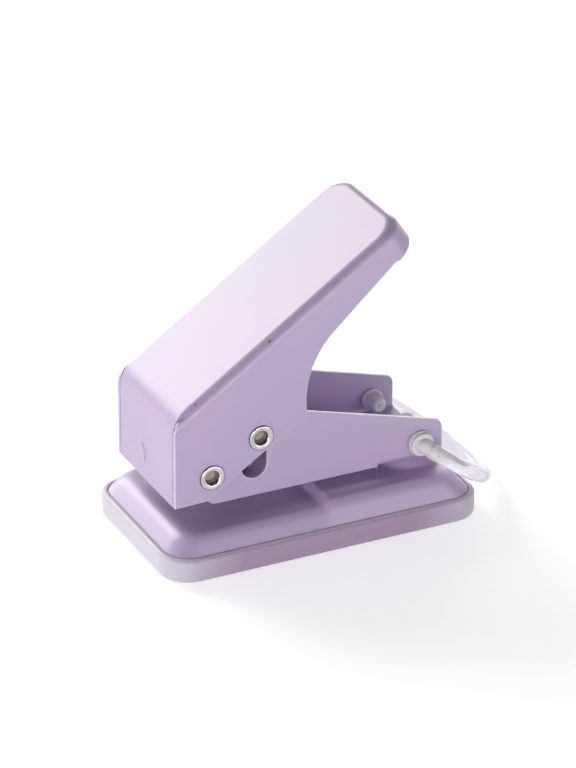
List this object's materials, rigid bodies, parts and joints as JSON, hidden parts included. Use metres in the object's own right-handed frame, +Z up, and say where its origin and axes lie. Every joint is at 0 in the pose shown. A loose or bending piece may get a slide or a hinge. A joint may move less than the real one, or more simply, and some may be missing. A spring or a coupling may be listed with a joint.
{
  "type": "single hole punch",
  "caption": "Desk hole punch: a raised sheet-metal lever drives a sprung punch through a bed in a chip tray, with a clear hold-down loop at the rear.",
  "frame": {"origin": "middle of the tray's flat underside, on the table", "axes": "+X from the punching end to the rear loop, +Y to the far side in the picture, +Z up"},
  "size_m": [0.0993, 0.0494, 0.0829],
  "materials": {
    "lilac_paint": "satin",
    "frosted_plastic": "frosted",
    "clear_plastic": "gloss",
    "nickel": "polished",
    "steel": "ground",
    "spring_steel": "drawn wire"
  },
  "bodies": {
    "tray": {"chip_tray": "frosted_plastic"},
    "base": {"base_plate": "lilac_paint", "die_plate": "steel", "die_rivets": "nickel", "frame": "lilac_paint", "base_rivets": "nickel", "guide_bush": "steel", "return_spring": "spring_steel"},
    "punch_set": {"punch": "steel", "spring_cap": "nickel", "drive_rivet": "nickel", "drive_washers": "nickel"},
    "lever": {"handle": "lilac_paint", "pivot_rivet": "nickel", "pivot_washers": "nickel"},
    "loop": {"bail": "clear_plastic"}
  },
  "joints": [
    {"name": "base_lift", "type": "slide", "parent": "tray", "child": "base", "axis": [0, 0, 1], "range_m": [0, 0.012]},
    {"name": "punch_stroke", "type": "slide", "parent": "base", "child": "punch_set", "axis": [0, 0, 1], "range_m": [-0.0084, 0], "deforming": ["return_spring"]},
    {"name": "lever_press", "type": "hinge", "parent": "punch_set", "child": "lever", "pos_m": [-0.016, 0, 0.0325], "axis": [0, 1, 0], "range_deg": [0, 32], "stiffness_Nm_per_rad": 0.27, "springref_deg": -22.92},
    {"name": "loop_swing", "type": "hinge", "parent": "base", "child": "loop", "pos_m": [0.0303, 0, 0.0195], "axis": [0, 1, 0], "range_deg": [-78, 0]}
  ],
  "couplings": [
    {"joint": "punch_stroke", "follows": "lever_press", "m_per_rad": -0.01495}
  ]
}
